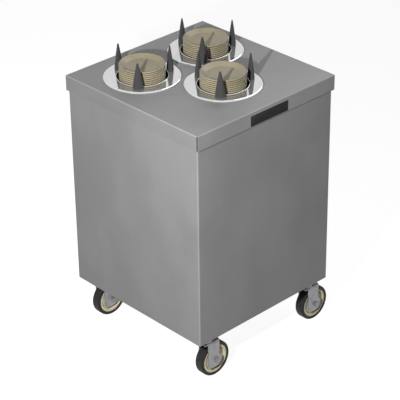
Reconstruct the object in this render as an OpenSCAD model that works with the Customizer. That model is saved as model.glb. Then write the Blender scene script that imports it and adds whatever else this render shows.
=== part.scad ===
// Plate dispenser cart: a square stainless cabinet on four swivel casters, with three
// round self-levelling plate dispensers dropped into its deck.
// Millimetres, +Z up, origin on the floor under the middle of the whole cart.
// The front of the cart faces -Y, and the wheels all trail towards +X.

/* [Cabinet] */
// Free deck between the rear rings and the deck's side edges
deck_margin = 39.5; // [30:0.5:80]
// Height of the deck above the floor
deck_top = 947.5; // [860:0.5:1000]
// Depth of the deck's downturned flange
flange_h = 53; // [35:1:70]
// How far the deck stands out past the body on each side
overhang = 7.5; // [6:0.1:16]
// Thickness of the cabinet's sheet
sheet_t = 1.6; // [1:0.1:2.5]
// Outer radius of the bend along the deck's edges
deck_bend_r = 4; // [3:0.5:8]
// Outer radius of the body's upright corners
corner_r = 5; // [3:0.5:10]
// How far each flange stops short of the deck's corner
corner_slit = 3.2; // [1:0.1:6]

/* [Dispenser places] */
// Free deck between the two rear rings
rear_gap = 28; // [16:1:60]
// How far the rear rings reach forward over the deck's middle line
rear_tuck = 8; // [0:0.5:12]
// How far the front ring reaches back over the deck's middle line
front_tuck = 20.8; // [0:0.1:26]

/* [Dispenser ring] */
// Width of the polished ring outside the circle of its posts
ring_margin = 31.5; // [26:0.5:40]
// Height of the ring's face above the deck
ring_rise = 6.5; // [4:0.5:12]
// Thickness of the ring's sheet
ring_t = 1.5; // [1:0.1:2.5]
// Free space between the plates and the mouth that they rise through
mouth_gap = 8.5; // [5:0.5:12]
// Outer radius of the rolled edge round the ring
ring_bend_r = 4.5; // [3:0.5:6]
// Wire size of the bead round the mouth
lip_d = 2.2; // [1.5:0.1:3]
// Depth of the collar that locates the ring in the deck
collar_h = 9; // [5:1:20]

/* [Guide posts] */
// Height of a guide post above the ring
post_h = 88; // [50:1:120]
// Width of a post at its foot
post_base_w = 34.5; // [20:0.5:40]
// How deep a post is towards the mouth, as a share of its width
post_depth_share = 0.65; // [0.5:0.05:1]
// Width of a post's rounded tip
post_tip_w = 7; // [4:0.5:12]
// Height of the straight foot under the taper
post_foot_h = 7; // [3:1:20]
// Distance of the posts' middles from the mouth's edge
post_inset = 13; // [10:0.5:20]
// Direction of the first post, counted from the right-hand side
post_angle = 100; // [90:1:110]
// Diameter of the stud that holds a post
stud_d = 8; // [6:1:10]

/* [Guide tube] */
// How far the slotted tube's bore stands outside the mouth
tube_step = 3.5; // [2:0.5:6]
// Thickness of the tube's wall
tube_t = 1.2; // [0.8:0.1:2]
// Free height between the base rails and the tube's lower end
tube_lift = 15.4; // [6:0.1:60]
// Width of each slot
slot_w = 14; // [13:0.5:20]
// Height of the closed band below the slots
band_h = 15; // [10:1:40]

/* [Carrier] */
// How far the platform's edge stands out past the plates
platform_margin = 2.5; // [0:0.5:4]
// Thickness of the platform's sheet
platform_t = 2; // [1.5:0.1:3]
// Depth of the platform's turned-down rim
platform_rim_h = 14; // [8:1:30]
// Height of the platform's face above the arms
carrier_h = 230; // [150:1:260]
// Outer diameter of the carrier's column
column_d = 28; // [20:1:40]
// Thickness of the column's wall
column_t = 2; // [1.5:0.5:4]
// Thickness of the three-armed spider
arm_t = 4; // [3:0.5:8]
// Width of an arm
arm_w = 9; // [6:0.5:11]
// Depth of the platform below the ring when the carrier is empty
top_stop = 12; // [8:1:40]

/* [Springs] */
// Free space between the tube and each spring
spring_gap = 8.3; // [7:0.1:12]
// Outer diameter of a spring
spring_d = 12; // [8:0.5:14]
// Diameter of the spring wire
wire_d = 1.6; // [1:0.1:2.4]
// Diameter of the pins that the springs hook on
anchor_d = 6; // [4:0.5:6]
// Depth of the upper pins below the ring's face
anchor_drop = 22; // [18:1:40]

/* [Plates] */
// Diameter of a plate
plate_d = 153; // [120:1:156]
// Height that each plate adds to the stack
plate_pitch = 7; // [6:0.1:12]
// Width of the plate's sloping rim
rim_w = 23.5; // [15:0.5:35]
// Depth of the well below the rim
well_depth = 9.5; // [5:0.5:20]
// Height of the plate's foot ring
foot_h = 1.6; // [1:0.1:4]
// Number of plates in a stack
plate_count = 24; // [8:1:30]
// Height of the topmost rim above the ring
stack_rise = 45; // [20:1:80]

/* [Casters] */
// Diameter of the wheel over its tire
wheel_d = 127; // [118:1:130]
// Width of the tire
tread_w = 35; // [25:1:38]
// Thickness of the tire round the wheel's core
tire_t = 12.2; // [8:0.1:20]
// Distance of the swivel axis from the deck's side edges
stem_inset_x = 70; // [60:0.1:100]
// Distance of the swivel axis from the deck's front and back edges
stem_inset_y = 50.5; // [46:0.1:80]
// Distance from the swivel axis back to the axle
trail = 33.5; // [20:0.5:40]
// Thickness of the fork's steel
fork_t = 3.5; // [2.5:0.5:4]
// Free space between the tire and each leg of the fork
fork_side_gap = 3.5; // [2:0.5:6]
// Free space between the tire and the fork's crown
crown_gap = 13.5; // [2:0.5:16]
// Width of a fork leg
leg_w = 49.5; // [36:0.5:54]
// Radius of the boss round the axle
boss_r = 23; // [18:1:30]
// Diameter of the axle bolt
axle_d = 9.5; // [8:0.5:12]
// Length of the caster's top plate
plate_len = 92; // [80:1:110]
// Width of the caster's top plate
plate_wid = 60; // [50:1:66]
// Thickness of the caster's top plate
plate_thk = 3; // [2:0.5:4]
// Height of the swivel, from the fork's crown to the face of the top plate
swivel_h = 27.1; // [22:0.1:40]

/* [Hidden] */

// How smoothly round things are drawn
$fn = 96;
// Free play between parts that slide or turn on each other
run_gap = 0.05;
// Free play between parts that are dropped or slid together
slip_gap = 0.5;
// Hairline under things that stand on one another
seat_gap = 0.05;
// How far a cutting shape runs past what it cuts
over = 5;
// Degrees in a full turn and in a quarter of one
full_turn = 360;
quarter_turn = 90;

// The rings take their size from the plates, and the deck takes its own from the rings
plate_r = plate_d / 2;
mouth_r = plate_r + mouth_gap;
post_circle_r = mouth_r + post_inset;
ring_r = post_circle_r + ring_margin;
rear_spacing = 2 * ring_r + rear_gap;
rear_back = ring_r - rear_tuck;
front_fore = ring_r - front_tuck;
deck_w = rear_spacing + 2 * (ring_r + deck_margin);

// The cabinet
body_w = deck_w - 2 * overhang;
body_inner_w = body_w - 2 * sheet_t;
body_top = deck_top - sheet_t;
stem_x = deck_w / 2 - stem_inset_x;
stem_y = deck_w / 2 - stem_inset_y;
wheel_r = wheel_d / 2;
// The trailing wheels reach past the deck on one side, so the cabinet stands a
// little off the origin and the whole cart is centred on it
cabinet_x = (deck_w / 2 - stem_x - trail - wheel_r) / 2;
// Width of the body's inturned lower edge
hem_w = 8;
// Width of the inturned edges that carry the back panel
back_return_w = 22;
// The cabinet stands on its casters, so its lower edge follows from their height
crown_top = wheel_d + crown_gap + fork_t;
caster_top = crown_top + swivel_h;
pan_bottom = caster_top;
body_bottom = pan_bottom - sheet_t;
pan_t = 2;
pan_top = pan_bottom + pan_t;
pan_edge_h = 30;
// Free space round the base pan inside the body
pan_gap = 0.3;
frame_leg = 25;
frame_t = 2.5;
// Free space between a rail and the pan's edge
rail_gap = 6.6;
rail_w = 2 * (stem_inset_x - overhang - sheet_t - pan_gap - pan_t - rail_gap);
rail_h = 24;
rail_t = 2.5;
// Diameter of the holes for the bolts that hold the casters
caster_hole_d = 8.5;
// How far those holes stand in from the ends and the sides of a caster's top plate
hole_end_in = 10;
hole_side_in = 8;
caster_hole_x = plate_len - 2 * hole_end_in;
caster_hole_y = plate_wid - 2 * hole_side_in;

// The dispensers
ring_top = deck_top + ring_rise;
collar_t = ring_t;
// Wall of the deck beyond the collar that the ring's edge covers
ring_cover = 11;
deck_hole_r = ring_r - ring_cover;
collar_r = deck_hole_r - slip_gap;
tube_flange_top = ring_top - ring_t;
tube_bottom = pan_top + rail_h + tube_lift;
tube_r = mouth_r + tube_step;
tube_outer_r = tube_r + tube_t;
tube_flange_r = collar_r - collar_t - slip_gap;
post_count = 3;
post_step = full_turn / post_count;
post_r = post_base_w / 2;
post_tip_r = post_tip_w / 2;
// The bead stands inside the posts, and their inner sides are cut flat beside it
lip_r = lip_d / 2;
lip_centre_r = mouth_r + lip_r;
post_flat_r = mouth_r + lip_d + slip_gap;
// How much fuller than a straight cone the post is at half its height
post_fullness_share = 0.05;
post_rings = 8;
post_tip_steps = 3;
// Small slope round the foot of a post
post_foot_edge = 1.2;
stud_below = 14;
stud_play = 0.3;
// The arms and springs stand midway between the posts
arm_angle = post_angle + post_step / 2;

// The stack and the carrier below it
well_r = plate_r - rim_w;
rim_t = plate_pitch - foot_h;
plate_h = plate_pitch + well_depth;
stack_h = (plate_count - 1) * plate_pitch + plate_h;
platform_top = ring_top + stack_rise - stack_h;
foot_r = well_r - foot_h;
foot_w = 5;
platform_r = plate_r + platform_margin;
platform_bend_r = 4;
drain_count = 6;
drain_r = 9;
drain_circle_share = 0.62;
arm_mid = platform_top - carrier_h;
arm_top = arm_mid + arm_t / 2;
arm_low = arm_mid - arm_t / 2;
column_r = column_d / 2;
// How far the flange at each end of the column stands out from it
column_flange_w = 6;
spider_hub_r = column_d;
carrier_bolt_r = 4;
shoe_h = 20;
shoe_flange = 3;
// How far a shoe's flange covers the tube beside its slot
shoe_cover = 4;
shoe_flange_w = slot_w + 2 * shoe_cover;
shoe_play = 0.3;
shoe_reach = 1.4;
slot_low = tube_bottom + band_h;
// The slot ends just above the arms' highest place
arm_mid_highest = ring_top - top_stop - carrier_h;
slot_high = arm_mid_highest + shoe_h / 2 + shoe_play;
arm_mid_lowest = slot_low + shoe_h / 2 + shoe_play;
travel_up = arm_mid_highest - arm_mid;
travel_down = arm_mid - arm_mid_lowest;
spring_circle_r = tube_outer_r + spring_gap + spring_d / 2;
anchor_r = anchor_d / 2;
anchor_z = ring_top - anchor_drop;
anchor_head_r = anchor_r + wire_d;
anchor_head_t = 2;
anchor_reach = spring_d / 2 + anchor_head_t;
// A spring's end loop: its inner radius clears the pin it hangs on
loop_inner_r = anchor_r + slip_gap;
loop_r = loop_inner_r + wire_d / 2;
loop_slack = loop_inner_r - anchor_r - run_gap;
spring_top = anchor_z - loop_slack - loop_r;
spring_low = arm_mid + loop_slack + loop_r;

// The casters
axle_z = wheel_r;
crown_low = crown_top - fork_t;
fork_inner = tread_w / 2 + fork_side_gap;
fork_outer = fork_inner + fork_t;
fork_inner_bend_r = 1.5;
fork_bend_r = fork_inner_bend_r + fork_t;
// Height where the legs end and the bend up to the crown starts
bend_start = crown_top - fork_bend_r;
// Distances of the crown's and the legs' leading edges from the swivel axis
crown_front = -21;
leg_front = -5.3;
leg_back = leg_front + leg_w;
leg_corner_r = 13;
axle_r = axle_d / 2;
bush_t = 2.5;
bush_r = axle_r + bush_t;
hub_r = 17;
hub_half = fork_inner - slip_gap;
core_r = wheel_r - tire_t;
// How far the core's faces stand back from the tire's sides
core_step = 2.5;
core_half = tread_w / 2 - core_step;
core_rim_t = 9;
web_half = 5;
groove_r = core_r - core_rim_t;
groove_w = 3;
disc_half = core_half - groove_w;
// Roundness of the tread's edges, as a share of the tire's thickness
tire_shoulder_share = 0.48;
tire_shoulder_r = tire_t * tire_shoulder_share;
kingpin_r = 6;
kingpin_head_r = 9;
kingpin_head_t = 3;
race_r = 23;
race_h = 11;
// Height of the lower race that shows under the cup
race_show = 3.7;
cup_t = 2.5;
cup_r = race_r + slip_gap + cup_t;
cup_low = crown_top + race_show;
nut_across_share = 1.75;
nut_across = axle_d * nut_across_share;
nut_height_share = 0.8;
nut_t = axle_d * nut_height_share;
hex_sides = 6;

echo(carrier_travel_up = travel_up, carrier_travel_down = travel_down);
echo(platform_top = platform_top, arm_mid = arm_mid, spring_low = spring_low, spring_top = spring_top);
echo(cabinet_x = cabinet_x, stem_x = stem_x, stem_y = stem_y, ring_top = ring_top);

// Shared shapes

// A block between two corners
module block(low, high) {
    translate(low) cube(high - low);
}

// A square plan with rounded corners, true arcs
module rounded_plan(w, d, r) {
    square([w - 2 * r, d], center = true);
    square([w, d - 2 * r], center = true);
    for (sx = [-1, 1], sy = [-1, 1]) {
        translate([sx * (w / 2 - r), sy * (d / 2 - r)]) circle(r);
    }
}

// Puts a thing at the middle of the cabinet
module in_cabinet() {
    translate([cabinet_x, 0, 0]) children();
}

// Puts a thing on the axis of one dispenser
module at_rear_left() {
    in_cabinet() translate([-rear_spacing / 2, rear_back, 0]) children();
}

module at_rear_right() {
    in_cabinet() translate([rear_spacing / 2, rear_back, 0]) children();
}

module at_front() {
    in_cabinet() translate([0, -front_fore, 0]) children();
}

// Puts a thing on the swivel axis of the caster at one corner
module at_corner(side, end) {
    in_cabinet() translate([side * stem_x, end * stem_y, 0]) children();
}

// Repeats a thing at the three posts, or at the three arms between them
module round_posts() {
    for (i = [0 : post_count - 1]) rotate([0, 0, post_angle + i * post_step]) children();
}

module round_arms() {
    for (i = [0 : post_count - 1]) rotate([0, 0, arm_angle + i * post_step]) children();
}

// A hexagon's prism for a bolt head or a nut, across its flats
module hex_prism(across, h) {
    cylinder(d = across / cos(full_turn / (2 * hex_sides)), h = h, $fn = hex_sides);
}

// The cabinet

// One flange of the deck with its bend, along the front edge
module deck_flange() {
    half = deck_w / 2 - corner_slit;
    inner_bend_r = deck_bend_r - sheet_t;
    block([-half, -deck_w / 2, deck_top - flange_h],
          [half, -deck_w / 2 + sheet_t, deck_top - deck_bend_r]);
    translate([-half, -deck_w / 2 + deck_bend_r, deck_top - deck_bend_r])
        rotate([quarter_turn, 0, quarter_turn])
        linear_extrude(2 * half)
        difference() {
            circle(deck_bend_r);
            circle(inner_bend_r);
            translate([0, -deck_bend_r - over]) square(2 * (deck_bend_r + over));
            translate([-deck_bend_r - over, -2 * (deck_bend_r + over)])
                square(2 * (deck_bend_r + over));
        }
}

// The pressed top with three round cut-outs and open corners
module top_deck() {
    flat_half = deck_w / 2 - deck_bend_r;
    color("silver")
    in_cabinet()
    difference() {
        union() {
            block([-flat_half, -flat_half, deck_top - sheet_t], [flat_half, flat_half, deck_top]);
            for (i = [0 : 3]) rotate([0, 0, i * quarter_turn]) deck_flange();
        }
        for (p = [[-rear_spacing / 2, rear_back], [rear_spacing / 2, rear_back], [0, -front_fore]]) {
            translate([p[0], p[1], deck_top - sheet_t - over])
                cylinder(r = deck_hole_r, h = sheet_t + 2 * over);
        }
    }
}

// Front and sides in one bent sheet, turned in below and at the back
module body_wrap() {
    back_y = body_w / 2 - sheet_t;
    color("lightgray")
    in_cabinet()
    union() {
        translate([0, 0, pan_bottom])
        linear_extrude(body_top - pan_bottom)
        difference() {
            rounded_plan(body_w, body_w, corner_r);
            rounded_plan(body_inner_w, body_inner_w, corner_r - sheet_t);
            translate([-body_w, back_y - sheet_t]) square([2 * body_w, body_w]);
        }
        for (s = [-1, 1]) {
            inner_x = s * (body_w / 2 - back_return_w);
            outer_x = s * body_w / 2;
            block([min(inner_x, outer_x), back_y - sheet_t, pan_bottom],
                  [max(inner_x, outer_x), back_y, body_top]);
        }
        translate([0, 0, body_bottom])
        linear_extrude(sheet_t)
        difference() {
            rounded_plan(body_w, body_w, corner_r);
            square(body_w - 2 * hem_w, center = true);
            translate([-body_w, back_y]) square([2 * body_w, body_w]);
        }
    }
}

// The flat rear panel, screwed on the wrap's inturned edges
module back_panel() {
    color("silver")
    in_cabinet()
    block([-body_w / 2 + corner_r, body_w / 2 - sheet_t, body_bottom],
          [body_w / 2 - corner_r, body_w / 2, deck_top - flange_h / 2]);
}

// The tray that closes the cabinet below
module base_pan() {
    half = body_inner_w / 2 - pan_gap;
    back = body_w / 2 - 2 * sheet_t - pan_gap;
    color("gray")
    in_cabinet()
    difference() {
        translate([0, (back - half) / 2, pan_bottom])
            linear_extrude(pan_edge_h) rounded_plan(2 * half, half + back, corner_r);
        translate([0, (back - half) / 2, pan_top])
            linear_extrude(pan_edge_h)
            rounded_plan(2 * (half - pan_t), half + back - 2 * pan_t, corner_r - pan_t);
        for (sx = [-1, 1], sy = [-1, 1]) {
            translate([sx * stem_x, sy * stem_y, pan_bottom - over]) caster_holes(pan_t + 2 * over);
        }
    }
}

// The four holes under one caster
module caster_holes(h) {
    for (sx = [-1, 1], sy = [-1, 1]) {
        translate([sx * caster_hole_x / 2, sy * caster_hole_y / 2, 0])
            cylinder(d = caster_hole_d, h = h);
    }
}

// Two hat channels across the pan, over the casters
module base_rails() {
    half = body_inner_w / 2 - pan_gap - pan_t - pan_gap;
    color("dimgray")
    in_cabinet()
    for (sx = [-1, 1]) {
        translate([sx * stem_x, 0, pan_top])
        difference() {
            block([-rail_w / 2, -half, 0], [rail_w / 2, half - sheet_t, rail_h]);
            block([-rail_w / 2 + rail_t, -half - over, rail_t],
                  [rail_w / 2 - rail_t, half + over, rail_h + over]);
            for (sy = [-1, 1]) {
                translate([0, sy * stem_y, -over]) caster_holes(rail_t + 2 * over);
            }
        }
    }
}

// Four upright angles in the corners, from the rails to the top frame
module corner_posts() {
    place = body_inner_w / 2 - pan_gap - pan_t - pan_gap;
    place_y = place - sheet_t;
    low = pan_top + rail_h + pan_gap;
    high = body_top - frame_leg;
    color("gray")
    in_cabinet()
    translate([0, 0, low])
    linear_extrude(high - low)
    intersection() {
        rounded_plan(2 * place, 2 * place_y, corner_r);
        for (sx = [-1, 1], sy = [-1, 1]) {
            scale([sx, sy]) translate([place - frame_leg, place_y - frame_leg]) angle_section();
        }
    }
}

// The section of an angle, its heel at the far corner
module angle_section() {
    difference() {
        square(frame_leg);
        translate([-over, -over]) square(frame_leg - frame_t + over);
    }
}

// The welded angle frame that the deck rests on
module top_frame() {
    outer = body_inner_w - 2 * pan_gap;
    outer_y = outer - 2 * sheet_t;
    color("gray")
    in_cabinet()
    difference() {
        translate([0, 0, body_top - frame_leg])
            linear_extrude(frame_leg) rounded_plan(outer, outer_y, corner_r);
        block([-outer / 2 + frame_t, -outer_y / 2 + frame_t, body_top - frame_leg - over],
              [outer / 2 - frame_t, outer_y / 2 - frame_t, body_top - frame_t]);
        block([-outer / 2 + frame_leg, -outer_y / 2 + frame_leg, body_top - frame_leg - over],
              [outer / 2 - frame_leg, outer_y / 2 - frame_leg, body_top + over]);
    }
}

// The dispensers

// The polished ring: a flat face with a rolled edge, a collar below and a bead round the mouth
module ring() {
    edge_r = ring_r - ring_bend_r;
    color("gainsboro")
    difference() {
        rotate_extrude() {
            translate([mouth_r, ring_top - ring_t]) square([edge_r - mouth_r, ring_t]);
            translate([edge_r, ring_top - ring_bend_r])
            intersection() {
                difference() {
                    circle(ring_bend_r);
                    circle(ring_bend_r - ring_t);
                }
                square(ring_bend_r + over);
            }
            translate([ring_r - ring_t, deck_top])
                square([ring_t, ring_rise - ring_bend_r]);
            translate([collar_r - collar_t, deck_top - collar_h])
                square([collar_t, collar_h + ring_rise - ring_t]);
            translate([lip_centre_r, ring_top]) circle(lip_r, $fn = 32);
        }
        round_posts() translate([post_circle_r, 0, ring_top - ring_t - over])
            cylinder(d = stud_d + stud_play, h = ring_t + 2 * over);
    }
}

// The slotted tube with its top flange, and the pins that the springs hang on
module tube() {
    color("silver")
    difference() {
        union() {
            translate([0, 0, tube_bottom]) cylinder(r = tube_outer_r, h = tube_flange_top - tube_bottom);
            translate([0, 0, tube_flange_top - tube_t]) cylinder(r = tube_flange_r, h = tube_t);
            round_arms() translate([tube_outer_r - tube_t / 2, 0, anchor_z])
                rotate([0, quarter_turn, 0]) {
                    cylinder(r = anchor_r, h = spring_circle_r + anchor_reach - tube_outer_r);
                    translate([0, 0, spring_circle_r + anchor_reach - tube_outer_r - anchor_head_t])
                        cylinder(r = anchor_head_r, h = anchor_head_t);
                }
        }
        translate([0, 0, tube_bottom - over]) cylinder(r = tube_r, h = ring_top - tube_bottom + 2 * over);
        round_arms() block([0, -slot_w / 2, slot_low], [tube_outer_r + over, slot_w / 2, slot_high]);
        round_posts() translate([post_circle_r, 0, tube_flange_top - tube_t - over])
            cylinder(d = stud_d + stud_play, h = tube_t + 2 * over);
    }
}

// The outline of a guide post from its tip down: a cone that swells a little
function post_radius(s) =
    post_tip_r + (post_r - post_tip_r) * (s + post_fullness_share * sin(s * full_turn / 2));

// One guide post with its stud: an oval cone, its inner side cut flat beside the mouth
module guide_post() {
    taper_h = post_h - post_foot_h - post_tip_r;
    foot = [[0, 0], [post_r - post_foot_edge, 0], [post_r, post_foot_edge], [post_r, post_foot_h]];
    taper = [for (i = [1 : post_rings])
        [post_radius(1 - i / post_rings), post_foot_h + taper_h * i / post_rings]];
    tip = [for (i = [1 : post_tip_steps - 1])
        let (a = i * quarter_turn / post_tip_steps)
        [post_tip_r * cos(a), post_h - post_tip_r + post_tip_r * sin(a)]];
    difference() {
        scale([post_depth_share, 1, 1])
            rotate_extrude() polygon(concat(foot, taper, tip, [[0, post_h]]));
        block([-post_base_w, -post_base_w, -over],
              [post_flat_r - post_circle_r, post_base_w, post_h + over]);
    }
    translate([0, 0, -stud_below]) cylinder(d = stud_d, h = stud_below + post_foot_h / 2);
}

module guide_posts() {
    color("darkslategray")
    round_posts() translate([post_circle_r, 0, ring_top + seat_gap]) guide_post();
}

// The round platform with a turned-down rim and drain holes
module platform() {
    inner_bend_r = platform_bend_r - platform_t;
    color("silver")
    translate([0, 0, platform_top])
    difference() {
        rotate_extrude() {
            translate([carrier_bolt_r + stud_play, -platform_t])
                square([platform_r - platform_bend_r - carrier_bolt_r - stud_play, platform_t]);
            translate([platform_r - platform_bend_r, -platform_bend_r])
            intersection() {
                difference() {
                    circle(platform_bend_r);
                    circle(inner_bend_r);
                }
                square(platform_bend_r + over);
            }
            translate([platform_r - platform_t, -platform_rim_h])
                square([platform_t, platform_rim_h - platform_bend_r]);
        }
        for (i = [0 : drain_count - 1]) {
            rotate([0, 0, i * full_turn / drain_count])
            translate([platform_r * drain_circle_share, 0, -platform_t - over])
                cylinder(r = drain_r, h = platform_t + 2 * over);
        }
    }
}

// The column between the platform and the spider, with a flange at each end
module column() {
    low = arm_top;
    high = platform_top - platform_t;
    color("gray")
    difference() {
        union() {
            translate([0, 0, low]) cylinder(r = column_r, h = high - low);
            translate([0, 0, low]) cylinder(r = column_r + column_flange_w, h = column_t);
            translate([0, 0, high - column_t]) cylinder(r = column_r + column_flange_w, h = column_t);
        }
        translate([0, 0, low - over]) cylinder(r = column_r - column_t, h = high - low + 2 * over);
    }
}

// The three-armed spider, with a pin at the end of each arm for a spring
module spider() {
    pin_start = spring_circle_r - spring_d / 2;
    color("gray")
    difference() {
        union() {
            translate([0, 0, arm_low]) cylinder(r = spider_hub_r, h = arm_t);
            round_arms() {
                block([0, -arm_w / 2, arm_low], [pin_start, arm_w / 2, arm_top]);
                translate([pin_start - anchor_r, 0, arm_mid]) rotate([0, quarter_turn, 0]) {
                    cylinder(r = anchor_r, h = spring_d / 2 + anchor_r + anchor_reach);
                    translate([0, 0, spring_d / 2 + anchor_r + anchor_reach - anchor_head_t])
                        cylinder(r = anchor_head_r, h = anchor_head_t);
                }
            }
        }
        translate([0, 0, arm_low - over]) cylinder(r = carrier_bolt_r + stud_play, h = arm_t + 2 * over);
    }
}

// The nylon shoes that slide in the slots, threaded on the arms
module shoes() {
    inner_x = tube_r - shoe_reach - shoe_flange;
    outer_x = tube_outer_r + shoe_reach;
    color("white")
    round_arms()
    translate([0, 0, arm_mid])
    difference() {
        union() {
            block([inner_x, -slot_w / 2 + shoe_play, -shoe_h / 2],
                  [outer_x + shoe_flange, slot_w / 2 - shoe_play, shoe_h / 2]);
            block([inner_x, -shoe_flange_w / 2, -shoe_h / 2],
                  [inner_x + shoe_flange, shoe_flange_w / 2, shoe_h / 2]);
            block([outer_x, -shoe_flange_w / 2, -shoe_h / 2],
                  [outer_x + shoe_flange, shoe_flange_w / 2, shoe_h / 2]);
        }
        block([inner_x - over, -arm_w / 2 - run_gap, -arm_t / 2 - run_gap],
              [outer_x + shoe_flange + over, arm_w / 2 + run_gap, arm_t / 2 + run_gap]);
    }
}

// One end loop of a spring, standing round a pin that points away from the tube
module spring_loop(z) {
    translate([0, 0, z])
    rotate([0, quarter_turn, 0])
    rotate_extrude()
    translate([loop_r, 0]) circle(wire_d / 2, $fn = 24);
}

// The extension springs, stretched between the tube's pins and the arms' pins
module springs() {
    coil_h = spring_top - spring_low;
    color("darkgray")
    round_arms()
    translate([spring_circle_r, 0, 0])
    union() {
        spring_loop(anchor_z - loop_slack);
        spring_loop(arm_mid + loop_slack);
        translate([0, 0, spring_low])
        difference() {
            cylinder(r = spring_d / 2, h = coil_h);
            translate([0, 0, wire_d]) cylinder(r = spring_d / 2 - wire_d, h = coil_h - 2 * wire_d);
        }
    }
}

// One plate: a flat well on a foot ring, with a sloping rim and a round edge
module plate() {
    edge_r = rim_t / 2;
    rotate_extrude() {
        polygon([
            [0, foot_h],
            [foot_r - foot_w, foot_h],
            [foot_r - foot_w, seat_gap],
            [foot_r, seat_gap],
            [foot_r + foot_h, foot_h],
            [plate_r - edge_r, plate_h - rim_t],
            [plate_r - edge_r, plate_h],
            [well_r, plate_pitch],
            [0, plate_pitch]
        ]);
        translate([plate_r - edge_r, plate_h - edge_r]) circle(edge_r, $fn = 32);
    }
}

// The stack under the topmost plate, each plate's foot in the well below it
module plates() {
    color("tan")
    for (i = [0 : plate_count - 2]) {
        translate([0, 0, platform_top + i * plate_pitch]) plate();
    }
}

// The topmost plate, whose open dish shows
module top_plate() {
    color("tan")
    translate([0, 0, platform_top + (plate_count - 1) * plate_pitch]) plate();
}

// The casters

// The top plate with the upper race pressed under it
module caster_plate() {
    color("silver")
    difference() {
        union() {
            block([-plate_len / 2, -plate_wid / 2, caster_top - plate_thk],
                  [plate_len / 2, plate_wid / 2, caster_top]);
            translate([0, 0, cup_low]) cylinder(r = cup_r, h = caster_top - plate_thk - cup_low);
        }
        translate([0, 0, cup_low - over])
            cylinder(r = cup_r - cup_t, h = crown_top + race_h + slip_gap - cup_low + over);
        translate([0, 0, crown_low]) cylinder(r = kingpin_r, h = caster_top);
        translate([0, 0, caster_top - plate_thk - over]) caster_holes(plate_thk + 2 * over);
    }
}

// The kingpins riveted through the top plates, each with its head under the crown
module kingpins() {
    head_top = crown_low - run_gap;
    color("gray")
    for (side = [-1, 1], end = [-1, 1]) {
        at_corner(side, end)
        translate([0, 0, head_top - kingpin_head_t]) {
            cylinder(r = kingpin_head_r, h = kingpin_head_t);
            cylinder(r = kingpin_r, h = caster_top - head_top + kingpin_head_t);
        }
    }
}

// The outline of a fork leg seen from the side, from the floor up and across from the axle.
// Its upper edge is where the crown's bend starts, so the two always meet.
module leg_outline() {
    front = leg_front - trail;
    back = leg_back - trail;
    polygon([[front, axle_z], [back, axle_z], [back, bend_start], [front, bend_start]]);
    translate([0, axle_z]) {
        circle(boss_r);
        translate([front + leg_corner_r, -boss_r + leg_corner_r]) circle(leg_corner_r);
        translate([front, -boss_r + leg_corner_r]) square([leg_corner_r, boss_r - leg_corner_r]);
        translate([front + leg_corner_r, -boss_r]) square([-front - leg_corner_r, boss_r]);
    }
}

// The fork: two legs bent down from a crown that carries the lower race
module fork() {
    color("silver")
    difference() {
        union() {
            for (s = [-1, 1]) {
                translate([trail, s * (fork_inner + fork_t / 2), 0])
                rotate([quarter_turn, 0, 0])
                linear_extrude(fork_t, center = true) leg_outline();
            }
            intersection() {
                translate([0, 0, bend_start])
                rotate([quarter_turn, 0, quarter_turn])
                linear_extrude(2 * (leg_w - crown_front), center = true)
                crown_section();
                block([crown_front, -fork_outer, 0], [leg_back, fork_outer, crown_top]);
            }
            translate([0, 0, crown_low]) cylinder(r = fork_outer, h = fork_t);
            translate([0, 0, crown_top - run_gap]) cylinder(r = race_r - slip_gap, h = race_h + run_gap);
        }
        translate([0, 0, crown_low - over])
            cylinder(r = kingpin_r + run_gap, h = race_h + fork_t + 2 * over);
        translate([trail, 0, axle_z]) rotate([quarter_turn, 0, 0])
            cylinder(r = axle_r + run_gap, h = 2 * fork_outer + 2 * over, center = true);
    }
}

// The crown's section across the fork: a flat with a quarter bend at each side
module crown_section() {
    bend_at = fork_outer - fork_bend_r;
    translate([-bend_at, fork_bend_r - fork_t]) square([2 * bend_at, fork_t]);
    for (s = [-1, 1]) {
        translate([s * bend_at, 0])
        intersection() {
            difference() {
                circle(fork_bend_r);
                circle(fork_bend_r - fork_t);
            }
            translate([s > 0 ? 0 : -fork_bend_r - over, 0]) square(fork_bend_r + over);
        }
    }
}

// The axle bolt, its nut, and the bush that the wheel turns on
module axle() {
    color("gainsboro")
    translate([trail, 0, axle_z])
    rotate([quarter_turn, 0, 0]) {
        translate([0, 0, fork_outer + run_gap]) hex_prism(nut_across, nut_t);
        translate([0, 0, -fork_outer - nut_t - axle_r / 2])
            cylinder(r = axle_r, h = 2 * fork_outer + nut_t + axle_r / 2 + run_gap);
        translate([0, 0, -fork_outer - nut_t - run_gap])
        difference() {
            hex_prism(nut_across, nut_t);
            translate([0, 0, -over]) cylinder(r = axle_r + run_gap, h = nut_t + 2 * over);
        }
        difference() {
            cylinder(r = bush_r, h = 2 * fork_inner - 2 * run_gap, center = true);
            cylinder(r = axle_r + run_gap, h = 2 * fork_inner + over, center = true);
        }
    }
}

// The wheel's moulded core: rim, groove, web and hub
module wheel() {
    color("wheat")
    translate([trail, 0, axle_z])
    rotate([quarter_turn, 0, 0])
    rotate_extrude()
    difference() {
        union() {
            translate([bush_r + run_gap, -hub_half]) square([hub_r - bush_r, 2 * hub_half]);
            translate([hub_r - groove_w, -disc_half]) square([groove_r - hub_r, 2 * disc_half]);
            translate([groove_r - groove_w * 2, -web_half])
                square([core_r - groove_r + groove_w, 2 * web_half]);
            translate([groove_r, -core_half]) square([core_r - groove_r, 2 * core_half]);
        }
        for (s = [-1, 1]) {
            translate([groove_r - groove_w / 2, s * core_half]) circle(groove_w, $fn = 32);
        }
    }
}

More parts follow.
